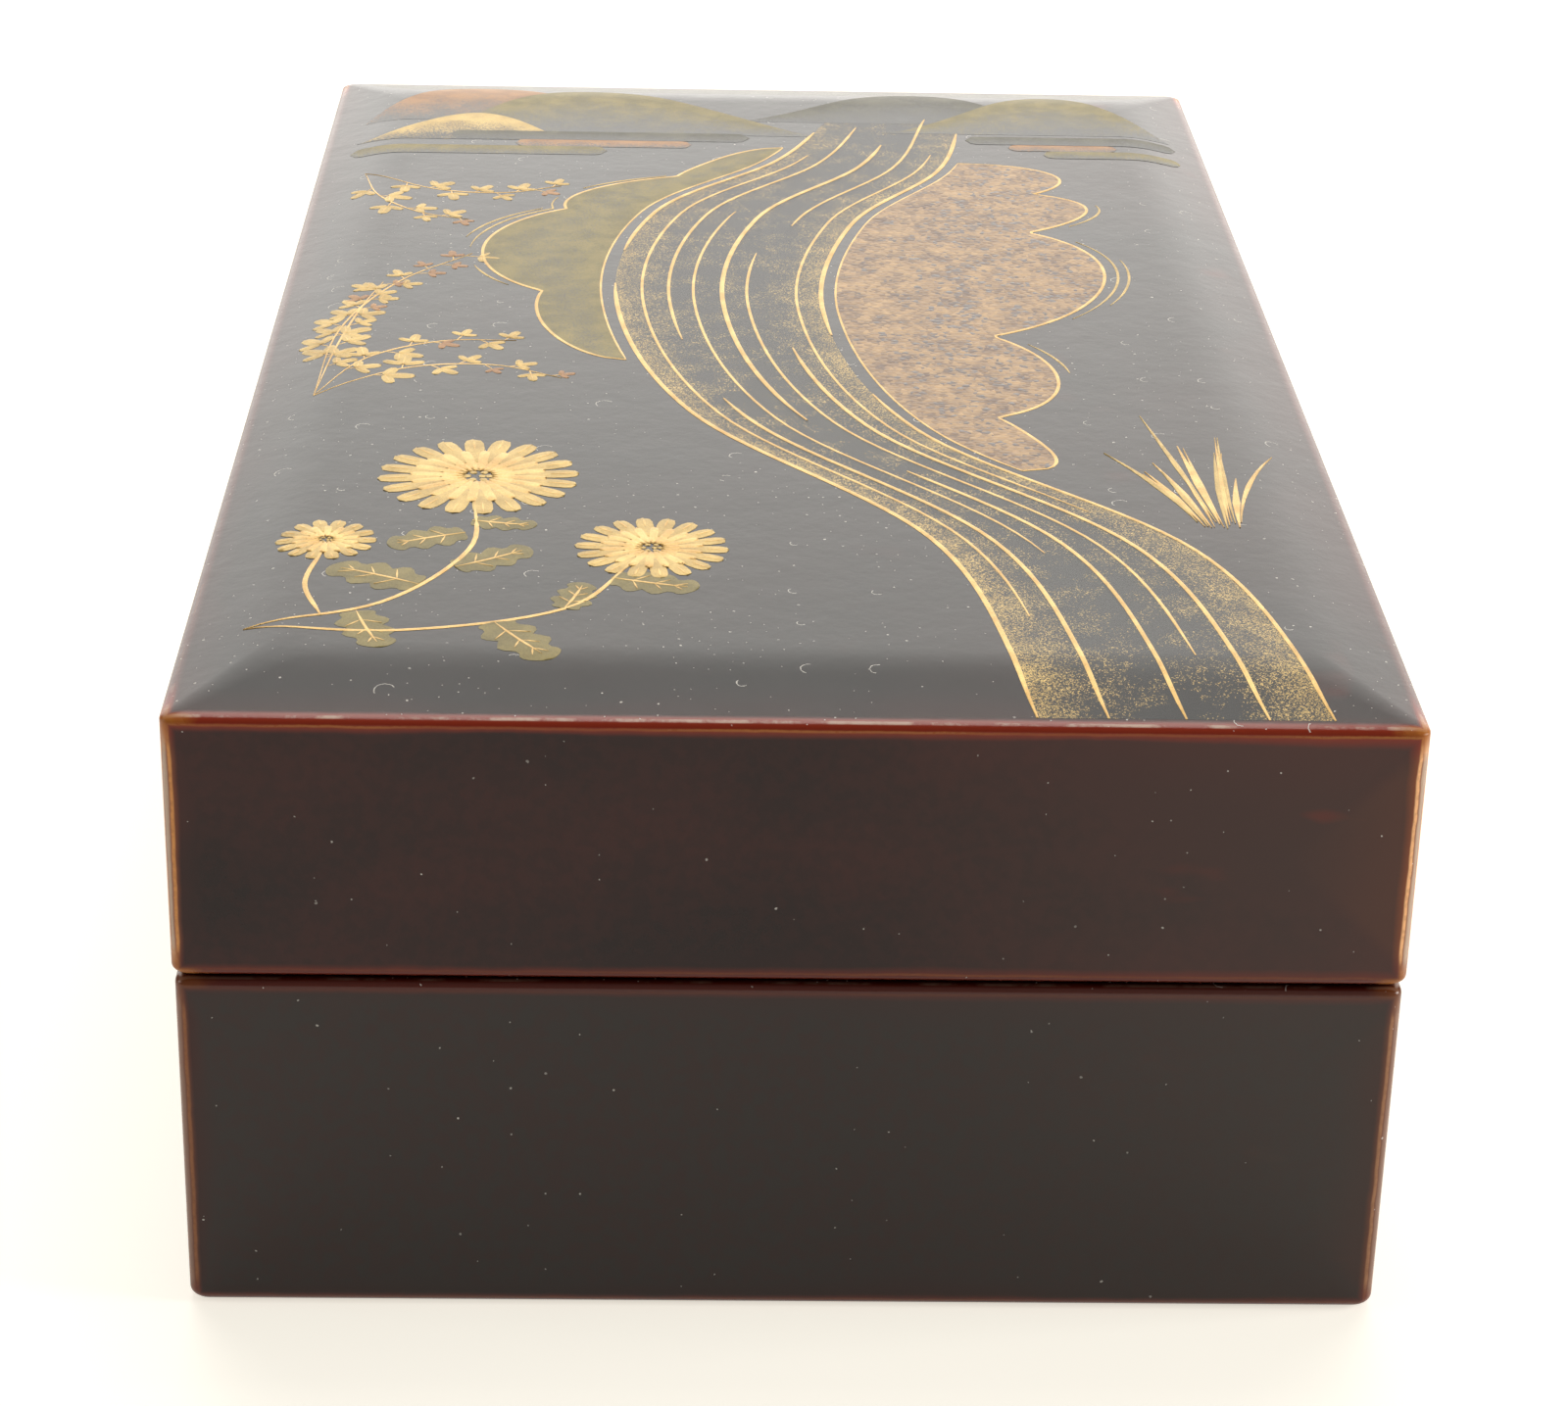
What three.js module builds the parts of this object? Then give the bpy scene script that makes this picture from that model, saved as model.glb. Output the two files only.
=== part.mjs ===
// A lacquered wooden box with a deep lift-off lid whose sides stand flush with the body's.
// Each half is a frame of four mitred cypress boards closed by one flat board, and is wrapped in a
// hard coat of cloth, ground and lacquer outside and a thinner coat of lacquer inside. Thin boards
// line the body and rise past its rim, where they make the lip that the lid slides down over.
// Sizes are millimetres. +Z is up, X runs across the box and Y along it, and the near end is at -Y.
// The origin is the middle of the footprint, on the surface that the box stands on.

import * as THREE from "three";

// The whole box
const boxWidth = 106;
const boxLength = 189;
const bodyHeight = 32.8;
const lidSideHeight = 24.6;
const lidRise = 1.7;

// How the lid meets the body
const seamGap = 0.4;
const lidOverhang = 0.2;
const lipHeight = 4.5;
const lipClearance = 0.3;

// Layers of a wall, from the outside in
const outerCoat = 0.7;
const lidWallBoard = 2.8;
const lipBoard = 1.4;
const innerCoat = 0.5;
const bondGap = 0.15;

// Closing boards, each with a step that drops between the four walls
const lidBoardEdge = 2.75;
const baseBoardThickness = 3;
const boardStep = 1;

// Margins of the lid's top, which slope up to a level middle
const endSlopeWidth = 12.5;
const sideSlopeWidth = 9;
const straightSlopeShare = 0.5;
const slopeStepShares = [0, 0.25, 0.5, 0.625, 0.75, 0.875, 1];

// Rounded edges
const uprightRadius = 1.2;
const lidArrisRadius = 1;
const lidRimRadius = 1;
const bodyRimRadius = 0.7;
const footRadius = 1.4;
const insideCornerRadius = 0.3;
const levelCornerRadius = 3;
const arrisSweep = (80 * Math.PI) / 180;
const quarterTurn = Math.PI / 2;
const edgeSteps = 4;
const cornerSteps = 4;

// Insets are measured from the lid's outer faces, towards the middle of the box.
const lidBoardInset = outerCoat + bondGap;
const lidLiningInset = lidBoardInset + lidWallBoard + bondGap;
const lidInsideInset = lidLiningInset + innerCoat;
const bodyBoardInset = lidOverhang + outerCoat + bondGap;
const lipFaceInset = lidInsideInset + lipClearance;
const lipCoreInset = lipFaceInset + innerCoat + bondGap;
const bodyWallBoard = lipCoreInset - bondGap - bodyBoardInset;
const bodyLiningInset = lipCoreInset + lipBoard + bondGap;
const bodyInsideInset = bodyLiningInset + innerCoat;

// Heights of the body, from the table up
const baseBoardBottom = outerCoat + bondGap;
const baseBoardTop = baseBoardBottom + baseBoardThickness;
const bodyWallBottom = baseBoardTop + bondGap;
const baseStepTop = baseBoardTop + boardStep;
const bodyLiningBottom = baseStepTop + bondGap;
const bodyFloor = bodyLiningBottom + innerCoat;
const bodyWallTop = bodyHeight - outerCoat - bondGap;
const lipTop = bodyHeight + lipHeight;
const lipCoreTop = lipTop - innerCoat - bondGap;

// Heights of the lid
const lidRim = bodyHeight + seamGap;
const lidArris = lidRim + lidSideHeight;
const lidWallBottom = lidRim + outerCoat + bondGap;
const lidBoardBottom = lidArris - outerCoat - bondGap - lidBoardEdge;
const lidWallTop = lidBoardBottom - bondGap;
const lidStepBottom = lidBoardBottom - boardStep;
const lidLiningTop = lidStepBottom - bondGap;
const lidCeiling = lidLiningTop - innerCoat;

const outerLacquer = new THREE.MeshStandardMaterial({ color: 0x2a1a14, roughness: 0.28, metalness: 0 });
const innerLacquer = new THREE.MeshStandardMaterial({ color: 0x3a2210, roughness: 0.3, metalness: 0.1 });
const cypress = new THREE.MeshStandardMaterial({ color: 0xd2b184, roughness: 0.75, metalness: 0 });

const box = new THREE.Group();

function addPiece(name, geometry, material) {
  const mesh = new THREE.Mesh(geometry, material);
  mesh.name = name;
  box.add(mesh);
  return mesh;
}

// One level of a loft is a rectangle with rounded corners, set in from the lid's outer faces.
function level(inset, z, radius = insideCornerRadius, insetAlong = inset) {
  return { halfWidth: boxWidth / 2 - inset, halfLength: boxLength / 2 - insetAlong, z, radius };
}

function levelPoints({ halfWidth, halfLength, z, radius }) {
  const points = [];
  for (const [sideX, sideY, startTurn] of [[1, -1, -1], [1, 1, 0], [-1, 1, 1], [-1, -1, 2]]) {
    for (let step = 0; step <= cornerSteps; step++) {
      const angle = (startTurn + step / cornerSteps) * quarterTurn;
      const x = sideX * (halfWidth - radius) + radius * Math.cos(angle);
      const y = sideY * (halfLength - radius) + radius * Math.sin(angle);
      points.push(new THREE.Vector3(x, y, z));
    }
  }
  return points;
}

// A closed solid through a list of levels. The first level is its flat end that faces down, and the
// last is its flat end that faces up, so a tray's levels run from its underside over its rim to its floor.
function loft(levels) {
  const rings = levels.map(levelPoints);
  const count = rings[0].length;
  const last = (rings.length - 1) * count;
  const index = [];
  for (let i = 1; i < count - 1; i++) {
    index.push(0, i + 1, i);
    index.push(last, last + i, last + i + 1);
  }
  for (let r = 0; r < rings.length - 1; r++) {
    for (let i = 0; i < count; i++) {
      const next = (i + 1) % count;
      const low = r * count;
      const high = low + count;
      index.push(low + i, low + next, high + next);
      index.push(low + i, high + next, high + i);
    }
  }
  const geometry = new THREE.BufferGeometry().setFromPoints(rings.flat());
  geometry.setIndex(index);
  geometry.computeVertexNormals();
  return geometry;
}

// Levels round an edge: a quarter circle about a centre, from one angle to another. An angle of zero
// points out of the side face, and a quarter turn points up.
function roundedEdge(centreInset, centreZ, radius, fromAngle, toAngle) {
  const levels = [];
  for (let step = 0; step <= edgeSteps; step++) {
    const angle = fromAngle + ((toAngle - fromAngle) * step) / edgeSteps;
    const inset = centreInset - radius * Math.cos(angle);
    const cornerRadius = Math.max(insideCornerRadius, uprightRadius - (radius - radius * Math.cos(angle)));
    levels.push(level(inset, centreZ + radius * Math.sin(angle), cornerRadius));
  }
  return levels;
}

// The share of the lid's rise that is reached at a share of the way across its sloping margin.
function riseShare(share) {
  const steepness = 2 / (1 + straightSlopeShare);
  const past = Math.max(0, share - straightSlopeShare);
  return steepness * (share - (past * past) / (2 * (1 - straightSlopeShare)));
}

// Levels across the sloping margin, for the outer surface or one that lies a depth below it
function slopeLevels(depth) {
  const start = lidArrisRadius * (1 - Math.cos(arrisSweep));
  return slopeStepShares.map((share) => {
    const across = Math.max(depth, start + sideSlopeWidth * share);
    const along = Math.max(depth, start + endSlopeWidth * share);
    const radius = Math.max(insideCornerRadius, levelCornerRadius * share);
    return level(across, lidArris - depth + lidRise * riseShare(share), radius, along);
  });
}

// The four sides of a frame, each turned from the front one
const sides = [
  { name: "front", turn: 0, run: boxWidth, reach: boxLength },
  { name: "right", turn: quarterTurn, run: boxLength, reach: boxWidth },
  { name: "rear", turn: 2 * quarterTurn, run: boxWidth, reach: boxLength },
  { name: "left", turn: 3 * quarterTurn, run: boxLength, reach: boxWidth },
];

// Four upright boards round the box, mitred where they meet
function addFrame(nameOf, inset, thickness, bottom, top) {
  for (const side of sides) {
    const halfRun = side.run / 2 - inset - bondGap / 2;
    const halfReach = side.reach / 2 - inset;
    const outline = new THREE.Shape([
      new THREE.Vector2(-halfRun, -halfReach),
      new THREE.Vector2(halfRun, -halfReach),
      new THREE.Vector2(halfRun - thickness, -halfReach + thickness),
      new THREE.Vector2(-halfRun + thickness, -halfReach + thickness),
    ]);
    const board = new THREE.ExtrudeGeometry(outline, { depth: top - bottom, bevelEnabled: false });
    const mesh = addPiece(nameOf(side.name), board, cypress);
    mesh.rotation.z = side.turn;
    mesh.position.z = bottom;
  }
}

// Body: the outer coat goes under the base, up the sides and over the rim, as far as the lip
addPiece("body_outer_lacquer", loft([
  ...roundedEdge(lidOverhang + footRadius, footRadius, footRadius, -quarterTurn, 0),
  ...roundedEdge(lidOverhang + bodyRimRadius, bodyHeight - bodyRimRadius, bodyRimRadius, 0, quarterTurn),
  level(lipFaceInset - bondGap, bodyHeight),
  level(lipFaceInset - bondGap, bodyHeight - outerCoat),
  level(lidOverhang + outerCoat, bodyHeight - outerCoat),
  level(lidOverhang + outerCoat, outerCoat),
]), outerLacquer);

addPiece("base_board", loft([
  level(bodyBoardInset, baseBoardBottom),
  level(bodyBoardInset, baseBoardTop),
  level(lipCoreInset, baseBoardTop),
  level(lipCoreInset, baseStepTop),
]), cypress);

addFrame((side) => `body_${side}_board`, bodyBoardInset, bodyWallBoard, bodyWallBottom, bodyWallTop);
addFrame((side) => `lip_${side}_board`, lipCoreInset, lipBoard, bodyLiningBottom, lipCoreTop);

// The inner coat covers the floor and the lip boards, and folds over the lip down to the rim
addPiece("body_inner_lacquer", loft([
  level(bodyLiningInset, bodyLiningBottom),
  level(bodyLiningInset, lipTop - innerCoat),
  level(lipFaceInset + innerCoat, lipTop - innerCoat),
  level(lipFaceInset + innerCoat, bodyHeight - outerCoat),
  level(lipFaceInset, bodyHeight - outerCoat),
  level(lipFaceInset, lipTop),
  level(bodyInsideInset, lipTop),
  level(bodyInsideInset, bodyFloor),
]), innerLacquer);

// Lid: the outer coat covers the domed top and the sides, and turns under the rim
addPiece("lid_outer_lacquer", loft([
  ...slopeLevels(outerCoat).reverse(),
  level(outerCoat, lidRim + outerCoat),
  level(lidLiningInset - bondGap, lidRim + outerCoat),
  level(lidLiningInset - bondGap, lidRim),
  ...roundedEdge(lidRimRadius, lidRim + lidRimRadius, lidRimRadius, -quarterTurn, 0),
  ...roundedEdge(lidArrisRadius, lidArris - lidArrisRadius * Math.sin(arrisSweep), lidArrisRadius, 0, arrisSweep),
  ...slopeLevels(0).slice(1),
]), outerLacquer);

addPiece("lid_top_board", loft([
  level(lidLiningInset, lidStepBottom),
  level(lidLiningInset, lidBoardBottom),
  level(lidBoardInset, lidBoardBottom),
  ...slopeLevels(lidBoardInset),
]), cypress);

addFrame((side) => `lid_${side}_board`, lidBoardInset, lidWallBoard, lidWallBottom, lidWallTop);

addPiece("lid_inner_lacquer", loft([
  level(lidInsideInset, lidCeiling),
  level(lidInsideInset, lidRim),
  level(lidLiningInset, lidRim),
  level(lidLiningInset, lidLiningTop),
]), innerLacquer);

export default box;
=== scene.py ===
# The finish of a lacquered wooden box with a lift-off lid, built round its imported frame.
# Lengths are metres, +Z is up, X runs across the box and Y along it, with the near end at -Y.

import math
import random

import bmesh
import bpy
from mathutils import Matrix, Vector
from mathutils.geometry import interpolate_bezier


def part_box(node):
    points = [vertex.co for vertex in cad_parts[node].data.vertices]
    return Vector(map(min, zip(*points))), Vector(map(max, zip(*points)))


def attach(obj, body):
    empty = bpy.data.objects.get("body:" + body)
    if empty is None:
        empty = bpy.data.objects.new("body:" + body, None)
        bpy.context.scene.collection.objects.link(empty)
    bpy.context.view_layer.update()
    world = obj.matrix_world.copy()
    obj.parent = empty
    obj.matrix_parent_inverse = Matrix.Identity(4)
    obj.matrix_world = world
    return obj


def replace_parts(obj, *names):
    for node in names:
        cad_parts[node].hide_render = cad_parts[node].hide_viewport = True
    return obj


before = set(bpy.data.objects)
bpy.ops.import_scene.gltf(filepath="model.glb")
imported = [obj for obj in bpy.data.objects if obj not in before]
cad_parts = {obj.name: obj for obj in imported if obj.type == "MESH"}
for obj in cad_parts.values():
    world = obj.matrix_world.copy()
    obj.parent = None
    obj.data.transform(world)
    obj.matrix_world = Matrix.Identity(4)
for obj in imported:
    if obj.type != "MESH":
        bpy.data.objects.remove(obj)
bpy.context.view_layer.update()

MM = 0.001
QUARTER_TURN = math.pi / 2


# Camera

def aim_camera():
    place = Vector((-10.3, -386.9, 195.6)) * MM
    pitch, yaw, roll = -0.4352, -0.031, -0.0241
    camera = bpy.data.objects.new("camera", bpy.data.cameras.new("camera"))
    camera.data.sensor_width = 36
    camera.data.lens = 89.5
    camera.data.clip_start = 10 * MM
    turn = (
        Matrix.Rotation(yaw, 4, "Z")
        @ Matrix.Rotation(pitch, 4, "X")
        @ Matrix.Rotation(roll, 4, "Y")
        @ Matrix.Rotation(QUARTER_TURN, 4, "X")
    )
    camera.matrix_world = Matrix.Translation(place) @ turn
    bpy.context.scene.collection.objects.link(camera)
    bpy.context.scene.camera = camera


aim_camera()


# Sizes, from the frame where it has them

lid_low, lid_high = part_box("lid_outer_lacquer")
body_low, body_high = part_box("body_outer_lacquer")
lining_low, lining_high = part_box("body_inner_lacquer")
ceiling_low, ceiling_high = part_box("lid_inner_lacquer")

LID_RISE = 1.7 * MM
END_SLOPE = 10.5 * MM
SIDE_SLOPE = 9 * MM
STRAIGHT_SLOPE_SHARE = 0.5
OUTER_COAT = 0.7 * MM
INNER_COAT = 0.5 * MM
LIP_BOARD = 1.4 * MM
BOND_GAP = 0.15 * MM
UPRIGHT_RADIUS = 1.2 * MM
CROWN_RADIUS = 4 * MM
ARRIS_INSET = 2.2 * MM
ARRIS_DROP = 0.8 * MM
LID_RIM_RADIUS = 0.9 * MM
BODY_RIM_RADIUS = 0.7 * MM
FOOT_RADIUS = 1.4 * MM
LIP_RADIUS = 0.5 * MM
INSIDE_RADIUS = 0.8 * MM
GOLD_ALLOWANCE = 0.15 * MM
ARRIS_SWEEP = math.radians(65.5)
EDGE_STEPS = 8
CORNER_STEPS = 7
SLOPE_STEPS = 10
SUPPORT_GAP = 0.3 * MM

lid_half = Vector((lid_high.x, lid_high.y))
body_half = Vector((body_high.x, body_high.y))
lip_half = Vector((lining_high.x, lining_high.y))
ceiling_half = Vector((ceiling_high.x, ceiling_high.y))
lid_rim = lid_low.z
lid_arris = lid_high.z - LID_RISE
lid_crown = lid_high.z - GOLD_ALLOWANCE
slope_start = ARRIS_INSET * (1 - math.cos(ARRIS_SWEEP))
slope_widths = Vector((SIDE_SLOPE, END_SLOPE))


# Shells. A shell starts from one flat face, and each further ring is drawn out of its open edge.

class Shell:
    def __init__(self, half, radius, height):
        self.mesh = bmesh.new()
        self.half, self.radius = half.copy(), radius
        made = bmesh.ops.create_grid(self.mesh, x_segments=1, y_segments=1, size=1)["verts"]
        bmesh.ops.scale(self.mesh, vec=(half.x, half.y, 1), verts=made)
        bmesh.ops.translate(self.mesh, vec=(0, 0, height), verts=made)
        bmesh.ops.bevel(
            self.mesh, geom=made, offset=radius, offset_type="OFFSET", segments=CORNER_STEPS,
            profile=0.5, affect="VERTICES", material=-1, clamp_overlap=False,
        )
        self.edges = list(self.mesh.edges)

    def ring(self, half, height, radius=None):
        """Draws out one ring, with its corners' radius kept unless another is given."""
        radius = self.radius if radius is None else radius
        made = bmesh.ops.extrude_edge_only(self.mesh, edges=self.edges)["geom"]
        verts = {part for part in made if isinstance(part, bmesh.types.BMVert)}
        self.edges = [
            part for part in made
            if isinstance(part, bmesh.types.BMEdge) and verts.issuperset(part.verts)
        ]
        for vert in verts:
            for axis in (0, 1):
                side = math.copysign(1, vert.co[axis])
                lean = (vert.co[axis] - side * (self.half[axis] - self.radius)) / self.radius
                vert.co[axis] = side * (half[axis] - radius) + lean * radius
            vert.co.z = height
        self.half, self.radius = half.copy(), radius

    def rounded(self, half, height, edge_radius, start, end, upright_radius=None):
        """Rings round an edge, from one angle to another. An angle of zero points out of the side,
        and a quarter turn points up. half is the side's, and height is the rounding's centre. The
        rounding is a circle, unless it gets another radius upright."""
        upright_radius = upright_radius or edge_radius
        for step in range(EDGE_STEPS + 1):
            angle = start + (end - start) * step / EDGE_STEPS
            inset = edge_radius * (1 - math.cos(angle))
            self.ring(inward(half, inset), height + upright_radius * math.sin(angle))

    def close(self):
        bmesh.ops.contextual_create(self.mesh, geom=self.edges)
        bmesh.ops.recalc_face_normals(self.mesh, faces=self.mesh.faces)
        return self.mesh


def inward(half, inset):
    return half - Vector((inset, inset))


def cut_across(mesh, axis, place):
    """Splits every face where a plane square to an axis meets it."""
    normal = Vector((0, 0, 0))
    normal[axis] = 1
    geom = list(mesh.verts) + list(mesh.edges) + list(mesh.faces)
    bmesh.ops.bisect_plane(mesh, geom=geom, plane_co=normal * place, plane_no=normal, dist=1e-7)


def support_corners(mesh, half, reach=UPRIGHT_RADIUS + SUPPORT_GAP):
    """Cuts beside the rounded uprights, so that the flat faces between them shade flat."""
    for axis in (0, 1):
        for side in (-1, 1):
            cut_across(mesh, axis, side * (half[axis] - reach))


def finished(name, mesh, body, slot, material, crease=35):
    data = bpy.data.meshes.new(name)
    mesh.to_mesh(data)
    mesh.free()
    data.shade_smooth()
    data.set_sharp_from_angle(angle=math.radians(crease))
    data.materials.append(material)
    piece = bpy.data.objects.new(name, data)
    bpy.context.scene.collection.objects.link(piece)
    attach(piece, body)
    return piece


# The domed top. Its margins slope up from the arris and ease into the level middle.

def rise_share(share):
    share = min(max(share, 0), 1)
    steepness = 2 / (1 + STRAIGHT_SLOPE_SHARE)
    past = max(0, share - STRAIGHT_SLOPE_SHARE)
    return steepness * (share - past * past / (2 * (1 - STRAIGHT_SLOPE_SHARE)))


def slope_inset(share, depth=0):
    return Vector([max(depth, slope_start + width * share) for width in slope_widths])


def lid_height(x, y):
    """The height of the domed top over a point, found by closing in on the ring that it lies on."""
    outer, inner = 0.0, 1.0
    for _ in range(12):
        share = (outer + inner) / 2
        radius = UPRIGHT_RADIUS + (CROWN_RADIUS - UPRIGHT_RADIUS) * share
        corner = inward(lid_half - slope_inset(share), radius)
        past = math.hypot(max(0, abs(x) - corner.x), max(0, abs(y) - corner.y))
        if past > radius:
            inner = share
        else:
            outer = share
    return lid_arris + (lid_crown - lid_arris) * rise_share(outer)


def slope_rings(shell, depth, steps):
    for step in steps:
        share = step / SLOPE_STEPS
        height = lid_arris - depth + (lid_crown - lid_arris) * rise_share(share)
        radius = UPRIGHT_RADIUS + (CROWN_RADIUS - UPRIGHT_RADIUS) * share
        shell.ring(lid_half - slope_inset(share, depth), height, radius)


def lid_shell():
    flange = inward(ceiling_half, -BOND_GAP)
    shell = Shell(lid_half - slope_inset(1), CROWN_RADIUS, lid_crown - OUTER_COAT)
    slope_rings(shell, OUTER_COAT, range(SLOPE_STEPS - 1, -1, -1))
    shell.ring(inward(lid_half, OUTER_COAT), lid_rim + OUTER_COAT, UPRIGHT_RADIUS)
    shell.ring(flange, lid_rim + OUTER_COAT)
    shell.ring(flange, lid_rim)
    shell.rounded(lid_half, lid_rim + LID_RIM_RADIUS, LID_RIM_RADIUS, -QUARTER_TURN, 0)
    shell.ring(lid_half, lid_rim + LID_RIM_RADIUS + SUPPORT_GAP)
    arris_centre = lid_arris - ARRIS_DROP * math.sin(ARRIS_SWEEP)
    shell.ring(lid_half, arris_centre - SUPPORT_GAP)
    shell.rounded(lid_half, arris_centre, ARRIS_INSET, 0, ARRIS_SWEEP, ARRIS_DROP)
    slope_rings(shell, 0, range(1, SLOPE_STEPS + 1))
    mesh = shell.close()
    support_corners(mesh, lid_half)
    return mesh


def body_shell():
    flange = inward(lip_half, -BOND_GAP)
    shell = Shell(inward(body_half, FOOT_RADIUS), UPRIGHT_RADIUS, body_low.z)
    shell.rounded(body_half, FOOT_RADIUS, FOOT_RADIUS, -QUARTER_TURN, 0)
    shell.ring(body_half, FOOT_RADIUS + SUPPORT_GAP)
    rim_centre = body_high.z - BODY_RIM_RADIUS
    shell.ring(body_half, rim_centre - SUPPORT_GAP)
    shell.rounded(body_half, rim_centre, BODY_RIM_RADIUS, 0, QUARTER_TURN)
    shell.ring(flange, body_high.z)
    shell.ring(flange, body_high.z - OUTER_COAT)
    shell.ring(inward(body_half, OUTER_COAT), body_high.z - OUTER_COAT)
    shell.ring(inward(body_half, OUTER_COAT), OUTER_COAT)
    mesh = shell.close()
    support_corners(mesh, body_half)
    return mesh


def lid_lining():
    """The thin coat on the walls and ceiling of the lid."""
    inside = inward(ceiling_half, INNER_COAT)
    ceiling = ceiling_high.z - INNER_COAT
    rim_radius = INNER_COAT / 2
    shell = Shell(inward(inside, INSIDE_RADIUS), INSIDE_RADIUS, ceiling)
    shell.rounded(inside, ceiling - INSIDE_RADIUS, INSIDE_RADIUS, QUARTER_TURN, 0)
    shell.rounded(ceiling_half, ceiling_low.z + rim_radius, rim_radius, math.pi, 2 * math.pi)
    shell.ring(ceiling_half, ceiling_high.z)
    mesh = shell.close()
    support_corners(mesh, inside)
    return mesh


def body_lining():
    """The thin coat on the floor and the walls, which folds over the lip and down its outer face."""
    core = inward(lip_half, INNER_COAT + BOND_GAP + LIP_BOARD + BOND_GAP)
    inside = inward(core, INNER_COAT)
    inside_floor = lining_low.z + INNER_COAT
    fold_low = body_high.z - OUTER_COAT
    under_fold = lining_high.z - INNER_COAT
    lip_centre = lining_high.z - LIP_RADIUS
    shell = Shell(core, INSIDE_RADIUS, lining_low.z)
    shell.ring(core, under_fold)
    shell.ring(inward(lip_half, INNER_COAT), under_fold)
    shell.ring(inward(lip_half, INNER_COAT), fold_low)
    shell.ring(lip_half, fold_low)
    shell.rounded(lip_half, lip_centre, LIP_RADIUS, 0, QUARTER_TURN)
    shell.rounded(inward(inside, -2 * LIP_RADIUS), lip_centre, LIP_RADIUS, QUARTER_TURN, math.pi)
    shell.rounded(inside, inside_floor + INSIDE_RADIUS, INSIDE_RADIUS, 0, -QUARTER_TURN)
    mesh = shell.close()
    support_corners(mesh, inside)
    return mesh


# Shader helpers

MID_GREY = (0.5, 0.5, 0.5)


def fill(tree, sockets, values):
    """Links or sets some sockets, which are given by name or number."""
    for key, value in values.items():
        if isinstance(value, bpy.types.NodeSocket):
            tree.links.new(value, sockets[key])
        else:
            sockets[key].default_value = value


def node(tree, kind, inputs=None, **settings):
    """Adds a node, sets it, fills its inputs and returns its outputs."""
    made = tree.nodes.new("ShaderNode" + kind)
    for setting, value in settings.items():
        setattr(made, setting, value)
    fill(tree, made.inputs, inputs or {})
    return made.outputs


def maths(tree, operation, *values, clamp=False):
    inputs = dict(enumerate(values))
    return node(tree, "Math", inputs, operation=operation, use_clamp=clamp)[0]


def vector_maths(tree, operation, *values):
    return node(tree, "VectorMath", dict(enumerate(values)), operation=operation)[0]


def times(tree, first, *others):
    for other in others:
        first = maths(tree, "MULTIPLY", first, other)
    return first


def minus(tree, value, taken):
    return maths(tree, "SUBTRACT", value, taken)


def sloped(tree, value, slope, start):
    return maths(tree, "MULTIPLY_ADD", value, slope, start)


def least(tree, first, second):
    return maths(tree, "MINIMUM", first, second)


def most(tree, first, second, clamp=False):
    return maths(tree, "MAXIMUM", first, second, clamp=clamp)


def weakened(tree, value, mask, share=1.0):
    """A value that loses a share of itself where a mask is 1."""
    return times(tree, value, sloped(tree, mask, -share, 1.0))


def mixed(tree, amount, first, second):
    """A colour between two colours."""
    return node(tree, "Mix", {0: amount, 6: first, 7: second}, data_type="RGBA")[2]


def fade(tree, value, start, end, first=0.0, last=1.0):
    """Eases from the first value to the last as the value goes from start to end."""
    inputs = {"Value": value, "From Min": start, "From Max": end, "To Min": first, "To Max": last}
    return node(tree, "MapRange", inputs, interpolation_type="SMOOTHSTEP")[0]


def noise(tree, position, feature_size, detail=2.0, roughness=0.5):
    inputs = {"Vector": position, "Scale": 1 / feature_size, "Detail": detail, "Roughness": roughness}
    return node(tree, "TexNoise", inputs)["Fac"]


def warped(tree, position, density, detail, reach):
    """A position pushed about by noise, so that a pattern of cells on it has uneven edges."""
    push = node(tree, "TexNoise", {"Vector": position, "Scale": density, "Detail": detail})["Color"]
    push = vector_maths(tree, "SUBTRACT", push, MID_GREY)
    push = node(tree, "VectorMath", {0: push, "Scale": reach}, operation="SCALE")[0]
    return vector_maths(tree, "ADD", position, push)


def stretched(tree, position, scale):
    return node(tree, "Mapping", {"Vector": position, "Scale": scale})[0]


def cells_at(tree, position, density, dimensions="3D"):
    """Random cells, with each cell's colour as three chances."""
    inputs = {"Vector": position, "Scale": density}
    cells = node(tree, "TexVoronoi", inputs, voronoi_dimensions=dimensions)
    return cells, node(tree, "SeparateColor", {0: cells["Color"]})


def new_group(name, vector, numbers, results):
    """A group that takes a vector and some numbers, and gives numbers."""
    group = bpy.data.node_groups.new(name, "ShaderNodeTree")
    group.interface.new_socket(name=vector, in_out="INPUT", socket_type="NodeSocketVector")
    for way, labels in (("INPUT", numbers), ("OUTPUT", results)):
        for label in labels:
            group.interface.new_socket(name=label, in_out=way, socket_type="NodeSocketFloat")
    given = group.nodes.new("NodeGroupInput").outputs
    result = group.nodes.new("NodeGroupOutput").inputs
    return group, given, result


def use_group(tree, group, inputs):
    made = tree.nodes.new("ShaderNodeGroup")
    made.node_tree = group
    fill(tree, made.inputs, inputs)
    return made.outputs


def new_material(name):
    """A material with a bare Principled shader. Returns it with its tree, shader inputs and position."""
    material = bpy.data.materials.new(name)
    material.use_nodes = True
    tree = material.node_tree
    tree.nodes.clear()
    shader = tree.nodes.new("ShaderNodeBsdfPrincipled")
    output = tree.nodes.new("ShaderNodeOutputMaterial")
    tree.links.new(shader.outputs[0], output.inputs["Surface"])
    position = node(tree, "TexCoord")["Object"]
    return material, tree, shader.inputs, position


def relief(tree, height, depth):
    """A normal bumped by a height from 0 to 1, over a depth in metres."""
    return node(tree, "Bump", {"Height": height, "Distance": depth, "Strength": 1.0})[0]


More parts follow.
